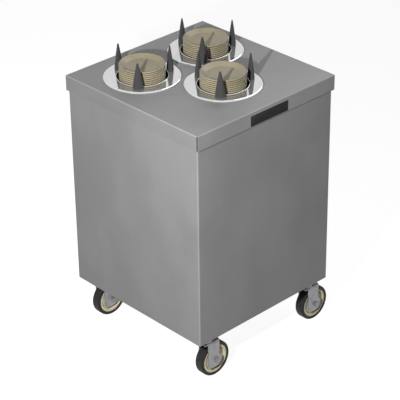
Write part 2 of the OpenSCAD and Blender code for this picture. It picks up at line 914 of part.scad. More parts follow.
// The tire: a round-shouldered tread with sides that step down to the core
module tire() {
    half = tread_w / 2;
    tread_centre_r = wheel_r - tire_shoulder_r;
    color("dimgray")
    translate([trail, 0, axle_z])
    rotate([quarter_turn, 0, 0])
    rotate_extrude() {
        translate([core_r + run_gap, -core_half])
            square([tread_centre_r - core_r - run_gap, 2 * core_half]);
        translate([tread_centre_r - tire_shoulder_r / 2, -half + tire_shoulder_r])
            square([wheel_r - tread_centre_r + tire_shoulder_r / 2, 2 * (half - tire_shoulder_r)]);
        for (s = [-1, 1]) {
            translate([tread_centre_r, s * (half - tire_shoulder_r)]) circle(tire_shoulder_r, $fn = 48);
        }
    }
}

top_deck();
body_wrap();
back_panel();
base_pan();
base_rails();
corner_posts();
top_frame();
kingpins();

at_rear_left() ring();  // rear_left_ring
at_rear_left() tube();  // rear_left_tube
at_rear_left() guide_posts();  // rear_left_guide_posts
at_rear_left() platform();  // rear_left_platform
at_rear_left() column();  // rear_left_column
at_rear_left() spider();  // rear_left_spider
at_rear_left() shoes();  // rear_left_shoes
at_rear_left() springs();  // rear_left_springs
at_rear_left() plates();  // rear_left_plates
at_rear_left() top_plate();  // rear_left_top_plate

at_rear_right() ring();  // rear_right_ring
at_rear_right() tube();  // rear_right_tube
at_rear_right() guide_posts();  // rear_right_guide_posts
at_rear_right() platform();  // rear_right_platform
at_rear_right() column();  // rear_right_column
at_rear_right() spider();  // rear_right_spider
at_rear_right() shoes();  // rear_right_shoes
at_rear_right() springs();  // rear_right_springs
at_rear_right() plates();  // rear_right_plates
at_rear_right() top_plate();  // rear_right_top_plate

at_front() ring();  // front_ring
at_front() tube();  // front_tube
at_front() guide_posts();  // front_guide_posts
at_front() platform();  // front_platform
at_front() column();  // front_column
at_front() spider();  // front_spider
at_front() shoes();  // front_shoes
at_front() springs();  // front_springs
at_front() plates();  // front_plates
at_front() top_plate();  // front_top_plate

at_corner(-1, -1) caster_plate();  // front_left_caster_plate
at_corner(-1, -1) fork();  // front_left_fork
at_corner(-1, -1) axle();  // front_left_axle
at_corner(-1, -1) wheel();  // front_left_wheel
at_corner(-1, -1) tire();  // front_left_tire

at_corner(1, -1) caster_plate();  // front_right_caster_plate
at_corner(1, -1) fork();  // front_right_fork
at_corner(1, -1) axle();  // front_right_axle
at_corner(1, -1) wheel();  // front_right_wheel
at_corner(1, -1) tire();  // front_right_tire

at_corner(-1, 1) caster_plate();  // rear_left_caster_plate
at_corner(-1, 1) fork();  // rear_left_fork
at_corner(-1, 1) axle();  // rear_left_axle
at_corner(-1, 1) wheel();  // rear_left_wheel
at_corner(-1, 1) tire();  // rear_left_tire

at_corner(1, 1) caster_plate();  // rear_right_caster_plate
at_corner(1, 1) fork();  // rear_right_fork
at_corner(1, 1) axle();  // rear_right_axle
at_corner(1, 1) wheel();  // rear_right_wheel
at_corner(1, 1) tire();  // rear_right_tire
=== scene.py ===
# %% [markdown]
# # A plate dispenser cart
# This lesson dresses a plate dispenser cart: a square stainless cabinet on four casters,
# with three round wells in its deck and a stack of china plates standing in each.
# The measured parts come in first as a fixed frame. Everything made here, from a nut to
# the finish of the steel, is fitted round that frame, and all of it but the springs moves with it.

# %% Load the frame
import math
import bpy
from mathutils import Matrix, Vector


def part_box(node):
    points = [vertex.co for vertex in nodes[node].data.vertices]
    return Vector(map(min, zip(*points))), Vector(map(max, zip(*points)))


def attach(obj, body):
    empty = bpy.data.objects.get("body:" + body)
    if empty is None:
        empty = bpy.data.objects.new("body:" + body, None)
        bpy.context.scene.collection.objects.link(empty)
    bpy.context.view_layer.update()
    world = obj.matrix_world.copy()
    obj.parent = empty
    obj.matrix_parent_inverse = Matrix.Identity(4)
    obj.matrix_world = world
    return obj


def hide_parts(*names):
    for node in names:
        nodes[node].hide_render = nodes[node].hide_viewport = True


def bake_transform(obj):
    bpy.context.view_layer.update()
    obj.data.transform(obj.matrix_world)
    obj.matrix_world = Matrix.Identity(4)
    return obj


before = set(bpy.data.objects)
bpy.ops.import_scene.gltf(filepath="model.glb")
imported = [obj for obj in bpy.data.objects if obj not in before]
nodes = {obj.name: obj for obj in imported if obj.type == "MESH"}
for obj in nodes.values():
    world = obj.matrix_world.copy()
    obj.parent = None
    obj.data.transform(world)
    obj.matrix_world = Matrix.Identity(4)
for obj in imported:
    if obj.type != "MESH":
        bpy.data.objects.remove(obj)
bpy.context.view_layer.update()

# %% [markdown]
# ## Sizes that several cells need
# A maker reads sizes off the part instead of guessing them. The box round a node gives
# its place at rest, so the deck's box gives the middle of the cabinet, and each ring's
# box gives the axis of its dispenser. Posts and springs stand three to a circle, so the
# direction of the first one fixes the other two.

# %% Sizes
MM = 0.001
deck_low, deck_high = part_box("top_deck")
body_low, body_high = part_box("body_wrap")
cabinet_x = (deck_low.x + deck_high.x) / 2
deck_half = (deck_high.x - deck_low.x) / 2
deck_z = deck_high.z


def middle_of(node):
    """The point in the middle of a node's box."""
    low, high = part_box(node)
    return (low + high) / 2


def three_round(first):
    """Three directions round a circle, the first in degrees from the right-hand side."""
    return [math.radians(first + 360 / 3 * i) for i in range(3)]


dispensers = ["rear_left", "rear_right", "front"]
casters = ["front_left", "front_right", "rear_left", "rear_right"]
dispenser_axis = {d: middle_of(d + "_ring") for d in dispensers}
print("deck top at", round(deck_z, 4), "m, cabinet middle at x", round(cabinet_x, 4))

# %% [markdown]
# ## Helpers for materials
# Every finish starts from the Principled shader. What makes it look like a real surface
# is a little variation: fine grain in its roughness, broad marks in its colour, and a
# slight bump. The patterns read Object coordinates, so they stay on the piece as it moves.

# %% A new finish and its patterns
mix_colours_in = (6, 7)  # where the Mix node keeps its two colours among its inputs
mix_colour_out = 2


def new_finish(name, metallic, **fixed):
    """A material with its Principled shader. Fixed values go straight on its sockets."""
    finish = bpy.data.materials.new(name)
    finish.use_nodes = True
    shader = finish.node_tree.nodes["Principled BSDF"]
    shader.inputs["Metallic"].default_value = metallic
    for socket, value in fixed.items():
        shader.inputs[socket.replace("_", " ")].default_value = value
    return finish, finish.node_tree, shader


def pattern(tree, stretch, detail=3.0, kind="ShaderNodeTexNoise", output="Fac"):
    """A noise on Object coordinates, with so many waves to the metre along X, Y and Z."""
    where = tree.nodes.new("ShaderNodeTexCoord")
    mapping = tree.nodes.new("ShaderNodeMapping")
    mapping.inputs["Scale"].default_value = stretch
    texture = tree.nodes.new(kind)
    texture.inputs["Scale"].default_value = 1.0
    if "Detail" in texture.inputs:
        texture.inputs["Detail"].default_value = detail
    tree.links.new(where.outputs["Object"], mapping.inputs["Vector"])
    tree.links.new(mapping.outputs["Vector"], texture.inputs["Vector"])
    return texture.outputs[output]


def span(tree, source, from_low, from_high, to_low, to_high):
    """Stretches one range of values onto another and stops at its ends."""
    ranged = tree.nodes.new("ShaderNodeMapRange")
    ranged.interpolation_type = "SMOOTHSTEP"
    for socket, value in (("From Min", from_low), ("From Max", from_high),
                          ("To Min", to_low), ("To Max", to_high)):
        ranged.inputs[socket].default_value = value
    tree.links.new(source, ranged.inputs["Value"])
    return ranged.outputs["Result"]


def spread(tree, noise, to_low, to_high):
    """Stretches a noise, which mostly stays between 0.3 and 0.7, onto a range."""
    return span(tree, noise, 0.3, 0.7, to_low, to_high)


def blend_colours(tree, amount, first, second):
    """Mixes two colours, each given as three numbers or as a socket."""
    mix = tree.nodes.new("ShaderNodeMix")
    mix.data_type = "RGBA"
    tree.links.new(amount, mix.inputs["Factor"])
    for place, value in zip(mix_colours_in, (first, second)):
        if hasattr(value, "is_output"):
            tree.links.new(value, mix.inputs[place])
        else:
            mix.inputs[place].default_value = (*value, 1.0)
    return mix.outputs[mix_colour_out]


# %% Linking a finish and laying it on


def colour_and_roughness(tree, shader, colour, roughness):
    """Links a colour and a roughness to the shader."""
    tree.links.new(colour, shader.inputs["Base Color"])
    tree.links.new(roughness, shader.inputs["Roughness"])


def raise_grain(tree, shader, height, depth):
    """Turns a pattern into bump of a real depth in metres."""
    bump = tree.nodes.new("ShaderNodeBump")
    bump.inputs["Distance"].default_value = depth
    tree.links.new(height, bump.inputs["Height"])
    tree.links.new(bump.outputs["Normal"], shader.inputs["Normal"])


def paint(finish, *names):
    """Gives a finish to every slot of the named nodes, or of a piece made here."""
    for name in names:
        thing = nodes[name] if isinstance(name, str) else name
        thing.data.materials.clear()
        thing.data.materials.append(finish)
    print(finish.name, "on", len(names), "pieces")


# %% [markdown]
# ## Where the sheet is folded
# The cabinet's sheet is bent along the deck's edges and at the body's upright corners.
# A finish can find such a fold by plain measuring: a point on it lies close to both of
# the faces that the fold joins. So the distance of a point from the cabinet's middle is
# compared with the place of each face, and the smaller of the two depths says how far
# into the fold the point is.

# %% Measuring on sockets


def axis_of(tree, name):
    """One Object coordinate of a point on the piece."""
    where = tree.nodes.new("ShaderNodeTexCoord")
    split = tree.nodes.new("ShaderNodeSeparateXYZ")
    tree.links.new(where.outputs["Object"], split.inputs["Vector"])
    return split.outputs[name]


def calculate(tree, operation, first, second=0.0):
    """One step of arithmetic between two sockets, or a socket and a number."""
    step = tree.nodes.new("ShaderNodeMath")
    step.operation = operation
    for socket, value in zip(step.inputs, (first, second)):
        if isinstance(value, (int, float)):
            socket.default_value = value
        else:
            tree.links.new(value, socket)
    return step.outputs["Value"]


# %% Finding a fold
body_half = (body_high.x - body_low.x) / 2
deck_fold = 4 * MM
body_fold = 5 * MM


def from_middle(tree, name, middle):
    """How far a point lies from the cabinet's middle along one axis, to either side."""
    return calculate(tree, "ABSOLUTE", calculate(tree, "SUBTRACT", axis_of(tree, name), middle))


def into_fold(tree, first, first_face, second, second_face, radius):
    """Nought where a fold starts and ends, and about 0.7 along its middle."""
    first_depth = calculate(tree, "SUBTRACT", first, first_face - radius)
    second_depth = calculate(tree, "SUBTRACT", second, second_face - radius)
    least = calculate(tree, "MINIMUM", first_depth, second_depth)
    return calculate(tree, "DIVIDE", least, radius)


print("faces of deck and body", round(deck_half, 4), round(body_half, 4), "m from the middle")

# %% [markdown]
# ## Brushed sheet for the cabinet
# The body is satin stainless sheet. Abrasive belts leave fine parallel lines in it,
# upright on the body, from side to side over the deck, and lengthwise on its flanges.
# A noise stretched a hundredfold in one direction gives such lines. Broad smudges are
# partly handling marks and partly painted blurred reflections, and the folded edges are
# painted brighter as a highlight. Pure metal would mirror the white studio and turn
# white, so most of the steel's grey is laid in as a matt colour, with a little metal
# over it. The deck's side flanges are painted a little darker as shade, and the body's
# sheet is set a little darker than the deck's, as painted shade on its upright faces.
# Behind the flanges the body is painted dark as shade, which shows only through the open
# slits at the deck's corners.

# %% Brushed steel
metal_share = 0.16
steel_glint = 0.1
smudge_and_reflection_waves = (4.5, 4.5, 3.6)
fold_painted_highlight = 1.25


def brushed_steel(name, colour, marks):
    """Satin sheet. Its marks are the belt's lines, the folds, painted brighter as a highlight, and
    a painted shade for each place.
    """
    finish, tree, shader = new_finish(name, metal_share, Specular_IOR_Level=steel_glint)
    lines, fold, tone = marks(tree)
    # Broad smudges: partly handling marks, partly painted blurred reflections in the colour.
    smudge_and_reflection = pattern(tree, smudge_and_reflection_waves, detail=2.5)
    shade = calculate(tree, "MULTIPLY", spread(tree, lines, 0.975, 1.025),
                      span(tree, smudge_and_reflection, 0.36, 0.64, 0.93, 1.05))
    # The folds are painted brighter: a painted highlight along the bends.
    shade = calculate(tree, "MULTIPLY", shade, span(tree, fold, 0.2, 0.69, 1.0, fold_painted_highlight))
    shade = calculate(tree, "MULTIPLY", shade, tone)
    toned = tree.nodes.new("ShaderNodeVectorMath")
    toned.operation = "SCALE"
    toned.inputs[0].default_value = colour
    tree.links.new(shade, toned.inputs["Scale"])
    rough = calculate(tree, "ADD", spread(tree, lines, 0.36, 0.46),
                      span(tree, smudge_and_reflection, 0.35, 0.65, 0.0, 0.06))
    colour_and_roughness(tree, shader, toned.outputs["Vector"], rough)
    raise_grain(tree, shader, lines, 0.02 * MM)
    return finish


# %% Steel of the deck
lines_across = (9.0, 900.0, 900.0)
lines_on_sides = (900.0, 9.0, 900.0)
flange_skin = 0.3 * deck_fold
# The deck's side flanges are painted a little darker: painted shade on those sides.
side_painted_shade = 0.87
side_shade_ends = deck_z - 0.6 * deck_fold


def deck_marks(tree):
    """Lines that turn with the side flanges, folds all round, and painted shade on the side
    flanges.
    """
    out_x = from_middle(tree, "X", cabinet_x)
    out_y = from_middle(tree, "Y", 0.0)
    height = axis_of(tree, "Z")
    on_side = calculate(tree, "GREATER_THAN", out_x, deck_half - flange_skin)
    lines = tree.nodes.new("ShaderNodeMix")
    tree.links.new(on_side, lines.inputs["Factor"])
    tree.links.new(pattern(tree, lines_across, detail=2.0), lines.inputs["A"])
    tree.links.new(pattern(tree, lines_on_sides, detail=2.0), lines.inputs["B"])
    fold = into_fold(tree, calculate(tree, "MAXIMUM", out_x, out_y), deck_half,
                     height, deck_z, deck_fold)
    below_fold = span(tree, height, deck_z - deck_fold, side_shade_ends, 1 - side_painted_shade, 0.0)
    darker = calculate(tree, "MULTIPLY", below_fold, on_side)
    return lines.outputs["Result"], fold, calculate(tree, "SUBTRACT", 1.0, darker)


deck_steel = brushed_steel("brushed_deck_steel", (0.28, 0.28, 0.282), deck_marks)
paint(deck_steel, "top_deck")

# %% Steel of the body
upright_lines = (700.0, 700.0, 6.0)
slit_shade_edge = 5 * MM
slit_painted_shade = 0.15


def body_marks(tree):
    """Upright lines, folds at the corners, and painted shade behind the deck's flanges."""
    lines = pattern(tree, upright_lines, detail=2.0)
    fold = into_fold(tree, from_middle(tree, "X", cabinet_x), body_half,
                     from_middle(tree, "Y", 0.0), body_half, body_fold)
    # Painted shade: the body is darkened above the flanges' lower edge.
    tone = span(tree, axis_of(tree, "Z"), deck_low.z, deck_low.z + slit_shade_edge, 1.0, slit_painted_shade)
    return lines, fold, tone


# The body's sheet is a little darker than the deck's: painted shade on its upright faces.
body_steel = brushed_steel("brushed_body_steel", (0.26, 0.26, 0.262), body_marks)
paint(body_steel, "body_wrap", "back_panel")

# %% [markdown]
# ## Mill-finish steel inside the cabinet
# Frame, rails, pan, tubes and carriers are never polished. Sheet as it comes from the
# mill is cloudy, with soft grey patches, so this finish has a broad mottle in place of
# the fine lines. It is dullest on the frame, and smoother on the tubes and carriers.

# %% Mill finish
mill_metal_share = 0.8
patch_tone = 0.78


def mill_steel(name, colour, roughness):
    """Dull sheet with a cloudy mottle."""
    finish, tree, shader = new_finish(name, mill_metal_share)
    clouds = pattern(tree, (22.0, 22.0, 22.0), detail=5.0)
    pits = pattern(tree, (1400.0, 1400.0, 1400.0), detail=1.0)
    dark = [patch_tone * part for part in colour]
    cloudy = blend_colours(tree, span(tree, clouds, 0.35, 0.65, 0.0, 1.0), dark, colour)
    colour_and_roughness(tree, shader, cloudy,
                         spread(tree, clouds, roughness + 0.08, roughness - 0.05))
    raise_grain(tree, shader, pits, 0.015 * MM)
    return finish


frame_steel = mill_steel("mill_frame_steel", (0.22, 0.22, 0.225), 0.52)
tube_steel = mill_steel("satin_tube_steel", (0.32, 0.32, 0.325), 0.38)
carrier_steel = mill_steel("satin_carrier_steel", (0.38, 0.38, 0.385), 0.34)
paint(frame_steel, "base_pan", "base_rails", "corner_posts", "top_frame")
paint(tube_steel, *[d + "_tube" for d in dispensers])
paint(carrier_steel, *[d + part for d in dispensers
                       for part in ("_platform", "_column", "_spider")])

# %% [markdown]
# ## Mirror chrome for the rings
# The three rings are polished until they mirror the plates and posts that stand on them.
# Such a surface is almost all reflection, so its roughness is tiny, and what shows is
# the faint haze of hand polishing and a few hairlines. A fifth of it is laid in as plain
# grey, because a pure mirror would turn white with the studio.

# %% Mirror chrome
chrome, tree, shader = new_finish("polished_chrome", 0.8)
haze = pattern(tree, (30.0, 30.0, 30.0), detail=4.0)
hairlines = pattern(tree, (2200.0, 60.0, 60.0), detail=1.0)
silver = blend_colours(tree, haze, (0.64, 0.64, 0.64), (0.7, 0.7, 0.705))
colour_and_roughness(tree, shader, silver, spread(tree, haze, 0.05, 0.09))
raise_grain(tree, shader, hairlines, 0.001 * MM)
paint(chrome, *[d + "_ring" for d in dispensers])

# %% [markdown]
# ## Dark plastic for the guide posts
# The posts are moulded in a dark grey plastic, hard and with a low sheen, so the light
# that falls on them shows their round shape. Moulded plastic has a very fine
# orange-peel, and plates that brush past leave paler upright scuffs.

# %% Post plastic
post_plastic, tree, shader = new_finish("dark_post_plastic", 0.0, Specular_IOR_Level=0.15)
peel = pattern(tree, (420.0, 420.0, 420.0), detail=2.0)
scuffs = pattern(tree, (260.0, 260.0, 60.0), detail=5.0)
scuffed = blend_colours(tree, span(tree, scuffs, 0.55, 0.8, 0.0, 0.6),
                        (0.05, 0.05, 0.052), (0.072, 0.072, 0.074))
colour_and_roughness(tree, shader, scuffed, span(tree, scuffs, 0.4, 0.8, 0.3, 0.46))
raise_grain(tree, shader, peel, 0.03 * MM)
paint(post_plastic, *[d + "_guide_posts" for d in dispensers])

# %% [markdown]
# ## Glazed china for the plates
# The plates are thick beige hotel china. The clay body shows through a clear glaze, so
# the finish is a matt, speckled colour under a smooth coat, whose roughness is fixed on
# the shader's own socket. The clay drifts slowly between two tones, as one firing is
# never quite like the next, and the same drift makes it a little uneven under the glaze.

# %% China
china, tree, shader = new_finish("glazed_china", 0.0, Specular_IOR_Level=0.2,
                                 Coat_Weight=0.12, Coat_Roughness=0.12)
tone = pattern(tree, (14.0, 14.0, 30.0), detail=3.0)
specks = pattern(tree, (900.0, 900.0, 900.0), detail=0.0)
clay = blend_colours(tree, spread(tree, tone, 0.0, 1.0),
                     (0.285, 0.247, 0.163), (0.33, 0.291, 0.198))
speckled = blend_colours(tree, span(tree, specks, 0.7, 0.78, 0.0, 0.35), clay, (0.2, 0.16, 0.1))
colour_and_roughness(tree, shader, speckled, spread(tree, tone, 0.3, 0.42))
raise_grain(tree, shader, tone, 0.15 * MM)
paint(china, *[d + part for d in dispensers for part in ("_plates", "_top_plate")])

# %% [markdown]
# ## Zinc, rubber and plastic for the casters
# Caster forks are pressed steel with a bright zinc plating. Zinc grows in small
# crystals, and a Voronoi pattern gives each of them a tone of its own. The plating dulls
# to a darker grey in patches. The wheel is a tan moulded core with grime on it, and its
# dark rubber tire is paler where it has picked up dust.

# %% Zinc plate
zinc, tree, shader = new_finish("bright_zinc", 0.45)
crystals = pattern(tree, (260.0, 260.0, 260.0), kind="ShaderNodeTexVoronoi", output="Color")
patches = pattern(tree, (45.0, 45.0, 45.0), detail=4.0)
grey = tree.nodes.new("ShaderNodeRGBToBW")
tree.links.new(crystals, grey.inputs["Color"])
flakes = blend_colours(tree, grey.outputs["Val"], (0.25, 0.25, 0.26), (0.33, 0.33, 0.338))
dulled = blend_colours(tree, span(tree, patches, 0.45, 0.7, 0.0, 0.5), flakes, (0.19, 0.19, 0.2))
colour_and_roughness(tree, shader, dulled, spread(tree, patches, 0.28, 0.42))
raise_grain(tree, shader, patches, 0.03 * MM)
paint(zinc, "kingpins", *[c + part for c in casters
                          for part in ("_caster_plate", "_fork", "_axle")])

# %% Rubber tire
rubber, tree, shader = new_finish("dark_rubber", 0.0, Specular_IOR_Level=0.2)
dust = pattern(tree, (60.0, 60.0, 60.0), detail=5.0)
pores = pattern(tree, (1100.0, 1100.0, 1100.0), detail=2.0)
dusty = blend_colours(tree, span(tree, dust, 0.5, 0.8, 0.0, 0.5),
                      (0.02, 0.02, 0.0205), (0.045, 0.044, 0.042))
colour_and_roughness(tree, shader, dusty, spread(tree, dust, 0.48, 0.62))
raise_grain(tree, shader, pores, 0.04 * MM)
paint(rubber, *[c + "_tire" for c in casters])

# %% Wheel core
core_plastic, tree, shader = new_finish("tan_core_plastic", 0.0, Specular_IOR_Level=0.4)
grime = pattern(tree, (70.0, 70.0, 70.0), detail=5.0)
grimy = blend_colours(tree, span(tree, grime, 0.5, 0.8, 0.0, 0.4),
                      (0.78, 0.72, 0.5), (0.44, 0.38, 0.25))
colour_and_roughness(tree, shader, grimy, spread(tree, grime, 0.36, 0.52))
raise_grain(tree, shader, grime, 0.05 * MM)
paint(core_plastic, *[c + "_wheel" for c in casters])

# %% [markdown]
# ## Nylon for the shoes, bright wire for the springs
# The shoes that slide in the tube's slots are natural nylon: milky and waxy, which a
# little light let in under the surface gives, with grey rub marks drawn out upright, the
# way they slide. The springs are drawn wire, brighter than the frame.

# %% Nylon
nylon, tree, shader = new_finish("natural_nylon", 0.0, Subsurface_Weight=0.15)
rubs = pattern(tree, (200.0, 200.0, 30.0), detail=4.0)
rubbed_grey = blend_colours(tree, span(tree, rubs, 0.5, 0.75, 0.0, 0.7),
                            (0.68, 0.66, 0.6), (0.36, 0.35, 0.33))
colour_and_roughness(tree, shader, rubbed_grey, spread(tree, rubs, 0.34, 0.5))
paint(nylon, *[d + "_shoes" for d in dispensers])

# %% Spring wire
wire_steel, tree, shader = new_finish("drawn_spring_wire", 0.9)
drawn = pattern(tree, (300.0, 300.0, 300.0), detail=3.0)
bright = blend_colours(tree, drawn, (0.3, 0.3, 0.31), (0.42, 0.42, 0.43))
colour_and_roughness(tree, shader, bright, spread(tree, drawn, 0.24, 0.38))
print(wire_steel.name, "is ready for the springs")

# %% [markdown]
# ## Small helpers for modelling by hand
# The operators in `bpy.ops` act on whatever is selected, and the frame comes in selected.
# So a piece is always selected by itself first. `settle` writes its place into its mesh,
# which leaves the object at the origin, unturned and unscaled, as the frame's nodes are.

# %% Selecting, settling and copying


def pick(piece):
    """Selects this piece alone and makes it the active one."""
    bpy.ops.object.select_all(action="DESELECT")
    piece.select_set(True)
    bpy.context.view_layer.objects.active = piece


def added(name):
    """Names the piece that an operator has just added."""
    piece = bpy.context.active_object
    piece.name = name
    piece.data.name = name
    return piece


def settle(piece):
    """Writes a piece's place, turn and size into its mesh."""
    pick(piece)
    bpy.ops.object.transform_apply(location=True, rotation=True, scale=True)
    return piece


def copy_of(piece, name, place=(0, 0, 0), turn=0.0):
    """A copy with its own mesh, turned about the upright through the origin, then moved."""
    twin = piece.copy()
    twin.data = piece.data.copy()
    twin.name = name
    twin.data.name = name
    bpy.context.scene.collection.objects.link(twin)
    twin.matrix_world = Matrix.Translation(place) @ Matrix.Rotation(turn, 4, "Z")
    return settle(twin)


def joined(pieces, name):
    """Joins several pieces into one mesh."""
    bpy.ops.object.select_all(action="DESELECT")
    for piece in pieces:
        piece.select_set(True)
    bpy.context.view_layer.objects.active = pieces[0]
    bpy.ops.object.join()
    return settle(added(name))


def remove(piece):
    """Takes away a pattern piece once its copies are made."""
    bpy.data.objects.remove(piece, do_unlink=True)


# %% [markdown]
# ## Coil springs
# Three extension springs lift each carrier. The frame holds only their outside, so here
# each gets its real wire. A small circle, the section of the wire, is swept round the
# spring's axis by a Screw modifier, one turn for each coil, and a ring closed round each
# pin makes the hooks.

# %% The wire swept into a coil, standing out along X
spring_radius = 104 * MM
wire_radius = 0.8 * MM
coil_radius = 5.2 * MM
hook_radius = 4.3 * MM
spring_low, spring_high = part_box("front_springs")
coil_top = spring_high.z - 2 * (hook_radius + wire_radius) + wire_radius
coil_bottom = spring_low.z + 2 * (hook_radius + wire_radius) - wire_radius
coil_turns = 60
steps_per_turn = 12
wire_sides = 6
bpy.ops.object.select_all(action="DESELECT")
bpy.ops.mesh.primitive_circle_add(vertices=wire_sides, radius=wire_radius, fill_type="NOTHING",
                                  location=(coil_radius, 0, 0), rotation=(math.pi / 2, 0, 0))
coil = settle(added("spring_coil"))
screw = coil.modifiers.new("coils", "SCREW")
screw.axis = "Z"
screw.iterations = coil_turns
screw.screw_offset = (coil_top - coil_bottom - 2 * wire_radius) / coil_turns
screw.steps = steps_per_turn
screw.render_steps = steps_per_turn
screw.use_smooth_shade = True
bpy.ops.object.modifier_apply(modifier=screw.name)
bpy.ops.object.mode_set(mode="EDIT")
bpy.ops.mesh.select_all(action="SELECT")
bpy.ops.mesh.fill_holes(sides=wire_sides)
bpy.ops.mesh.select_all(action="SELECT")
bpy.ops.mesh.normals_make_consistent(inside=False)
bpy.ops.object.mode_set(mode="OBJECT")
coil.location = (spring_radius, 0, coil_bottom + wire_radius)
settle(coil)
print("coil from", round(coil_bottom, 4), "to", round(coil_top, 4), "m")

# %% Hooks at both ends
wire_sharp = math.radians(60)
hooks = []
for pin_z in (spring_high.z - hook_radius - wire_radius, spring_low.z + hook_radius + wire_radius):
    bpy.ops.object.select_all(action="DESELECT")
    bpy.ops.mesh.primitive_torus_add(location=(spring_radius, 0, pin_z),
                                     rotation=(0, math.pi / 2, 0),
                                     major_segments=2 * steps_per_turn,
                                     minor_segments=wire_sides, major_radius=hook_radius,
                                     minor_radius=wire_radius)
    hooks.append(settle(added("spring_hook")))
spring = joined([coil, *hooks], "one_spring")
bpy.ops.object.shade_smooth_by_angle(angle=wire_sharp)
print("one spring:", len(spring.data.polygons), "faces")

# %% Nine springs, three to a dispenser
arm_directions = three_round(160)
for d in dispensers:
    axis = dispenser_axis[d]
    three = [copy_of(spring, "spring", (axis.x, axis.y, 0), turn) for turn in arm_directions]
    whole = joined(three, d + "_coil_springs")
    paint(wire_steel, whole)
    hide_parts(d + "_springs")
    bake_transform(whole)
remove(spring)

# %% [markdown]
# ## Hexagon nuts and bolts
# One nut is modelled and copied to every place that has one. It is a six-sided prism,
# whose outer face is extruded a little and drawn in, which leaves the sloping chamfer of
# a turned nut. A washer is a disc whose two faces are inset and then bridged, and the
# bridge is the wall of its hole. A bolt's end is a plain rod, because the fine thread of
# so small a bolt would never show.

# %% Cylinders, marked faces and soft edges
facing = 0.9  # a face looks along an axis when its normal reaches this far along it
sharp = math.radians(30)  # edges that turn by more than this are rounded


def cylinder(name, radius, low, high, sides):
    """A cylinder that stands on the upright through the origin, between two heights."""
    bpy.ops.object.select_all(action="DESELECT")
    bpy.ops.mesh.primitive_cylinder_add(vertices=sides, radius=radius, depth=high - low,
                                        location=(0, 0, (low + high) / 2))
    return settle(added(name))


def mark_faces(piece, test):
    """In edit mode, selects the faces whose normal passes a test."""
    bpy.ops.mesh.select_mode(type="FACE")
    bpy.ops.mesh.select_all(action="DESELECT")
    bpy.ops.object.mode_set(mode="OBJECT")
    for face in piece.data.polygons:
        face.select = bool(test(face.normal))
    bpy.ops.object.mode_set(mode="EDIT")


def soften(piece, width, steps=2):
    """Rounds the sharp edges with a bevel modifier and smooths the flats between."""
    pick(piece)
    bevel = piece.modifiers.new("soft edges", "BEVEL")
    bevel.width = width
    bevel.segments = steps
    bevel.limit_method = "ANGLE"
    bevel.angle_limit = sharp
    bpy.ops.object.modifier_apply(modifier=bevel.name)
    bpy.ops.object.shade_smooth_by_angle(angle=sharp)
    return piece


# %% Nut, washer and bolt end
nut_across = 13 * MM
nut_height = 6.5 * MM
nut_crown = 0.8 * MM
thread_radius = 4 * MM
thread_tip = 3 * MM  # how far a bolt stands out past its nut
chamfer_share = 0.88
thread_play = 0.1 * MM
thread_round = 0.5 * MM
head_round = 0.25 * MM
washer_round = 0.15 * MM
rod_sides = 20
washer_sides = 28


def hexagon(name, across, height, crown):
    """A hexagon prism standing on the origin with a chamfered top."""
    corner_radius = across / 2 / math.cos(math.pi / 6)
    piece = cylinder(name, corner_radius, 0, height - crown, sides=6)
    bpy.ops.object.mode_set(mode="EDIT")
    mark_faces(piece, lambda normal: normal.z > facing)
    bpy.ops.mesh.extrude_region_move(TRANSFORM_OT_translate={"value": (0, 0, crown)})
    bpy.ops.transform.resize(value=(chamfer_share, chamfer_share, 1.0))
    bpy.ops.object.mode_set(mode="OBJECT")
    return piece


def rounded_rod(length, top):
    """A plain rod of this length whose rounded top is at this height."""
    rod = cylinder("thread", thread_radius, top - length, top, rod_sides)
    return soften(rod, thread_round, steps=1)


def washer(name, radius, thickness):
    """A flat washer lying on the origin, with its hole."""
    piece = cylinder(name, radius, 0, thickness, washer_sides)
    bpy.ops.object.mode_set(mode="EDIT")
    mark_faces(piece, lambda normal: abs(normal.z) > facing)
    bpy.ops.mesh.inset(thickness=radius - thread_radius - thread_play, use_individual=True)
    bpy.ops.mesh.bridge_edge_loops()
    bpy.ops.object.mode_set(mode="OBJECT")
    return soften(piece, washer_round, steps=1)


nut = soften(hexagon("one_nut", nut_across, nut_height, nut_crown), head_round)
print("nut:", len(nut.data.polygons), "faces")

# %% [markdown]
# ## Nuts under the guide posts
# Each post is held by a stud that passes through the ring and the tube's flange. The
# nut and washer below clamp all three together. They are modelled upright and turned
# over, because these nuts hang under the flange.

# %% Turning over


def turn_over(piece, rise=0.0):
    """Turns a piece upside down about the origin, then lifts it to this height."""
    piece.matrix_world = Matrix.Translation((0, 0, rise)) @ Matrix.Rotation(math.pi, 4, "X")
    return settle(piece)


# %% Post nuts
washer_thickness = 1.2 * MM
washer_radius = 8 * MM
tube_sheet = 1.2 * MM
flange_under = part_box("front_tube")[1].z - tube_sheet
post_radius = 98 * MM
post_directions = three_round(100)
post_washer = washer("post_washer", washer_radius, washer_thickness)
post_nut = copy_of(nut, "post_nut", (0, 0, washer_thickness))
fastening = turn_over(joined([post_washer, post_nut], "post_fastening"))
for d in dispensers:
    axis = dispenser_axis[d]
    three = []
    for direction in post_directions:
        place = (axis.x + post_radius * math.cos(direction),
                 axis.y + post_radius * math.sin(direction), flange_under)
        three.append(copy_of(fastening, "post_nut", place, direction))
    whole = joined(three, d + "_post_nuts")
    paint(zinc, whole)
    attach(whole, "root")
remove(fastening)

# %% [markdown]
# ## Bolts that hold the casters
# Four bolts go up through each caster's plate, the pan and the rail. Heads show under
# the cart beside the swivel, and nuts sit inside on the rail. Bolts tightened by hand
# never line up, so neighbours are turned opposite ways. All sixteen are one repeated
# pattern, so they are kept as one piece of heads and shanks with their nuts.

